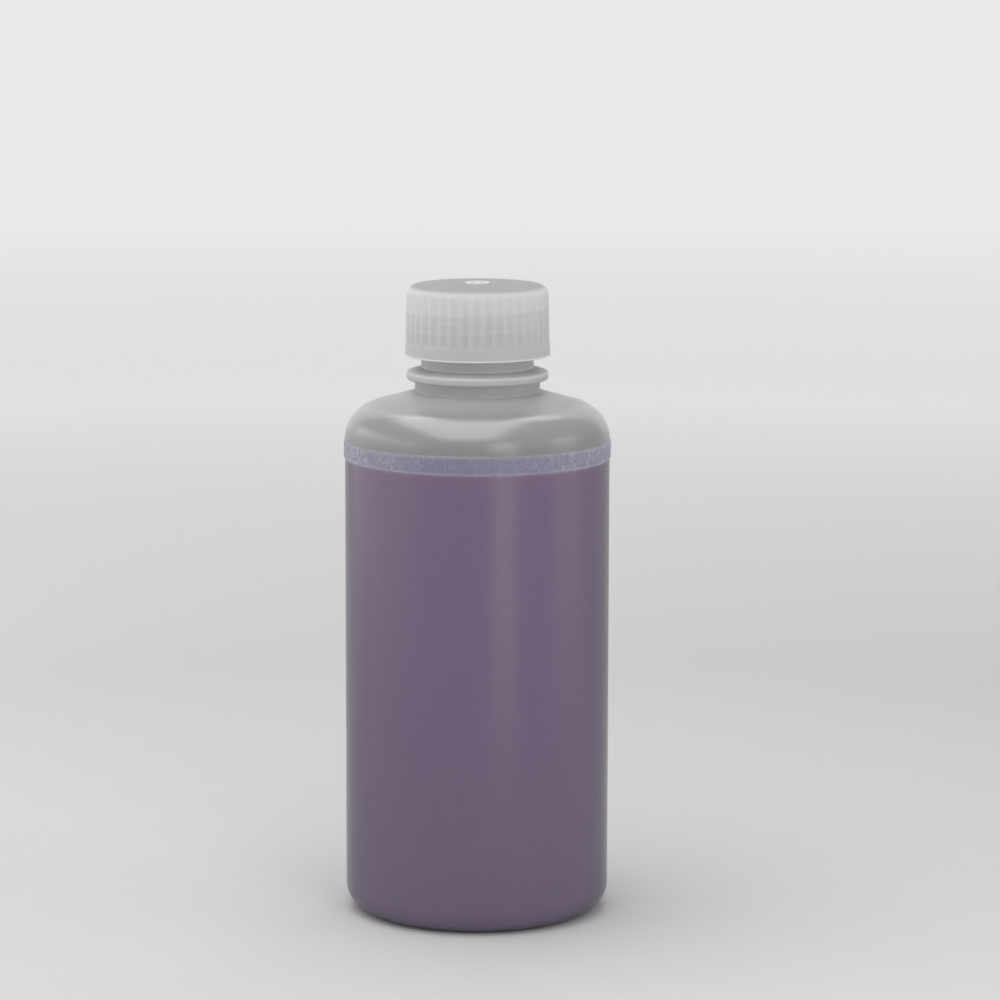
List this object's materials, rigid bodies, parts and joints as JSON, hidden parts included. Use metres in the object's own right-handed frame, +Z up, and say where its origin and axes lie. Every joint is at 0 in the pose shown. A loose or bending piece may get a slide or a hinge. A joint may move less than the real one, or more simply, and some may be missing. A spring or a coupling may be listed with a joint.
{
  "type": "round media bottle",
  "caption": "Round translucent plastic media bottle with a raised textured belt, a screw neck, a fluted closure and liquid up to the belt.",
  "frame": {"origin": "on the standing plane, on the bottle's axis", "axes": "+Z up along the bottle's axis, towards the closure"},
  "size_m": [0.0822, 0.0822, 0.1956],
  "materials": {
    "bottle_wall": "natural translucent polypropylene",
    "closure_plastic": "milky satin polypropylene",
    "liner_foam": "white foam",
    "medium_liquid": "purple liquid"
  },
  "bodies": {
    "vessel": {"bottle": "bottle_wall", "medium": "medium_liquid"},
    "lifter": {"liner": "liner_foam"},
    "cap_turner": {"closure": "closure_plastic"}
  },
  "joints": [
    {"name": "closure_lift", "type": "slide", "parent": "vessel", "child": "lifter", "axis": [0, 0, 1], "range_m": [0, 0.00636]},
    {"name": "closure_turn", "type": "hinge", "parent": "lifter", "child": "cap_turner", "pos_m": [0, 0, 0.18], "axis": [0, 0, 1], "range_deg": [0, 540]}
  ],
  "couplings": [
    {"joint": "closure_lift", "follows": "closure_turn", "m_per_rad": 0.00067376}
  ]
}
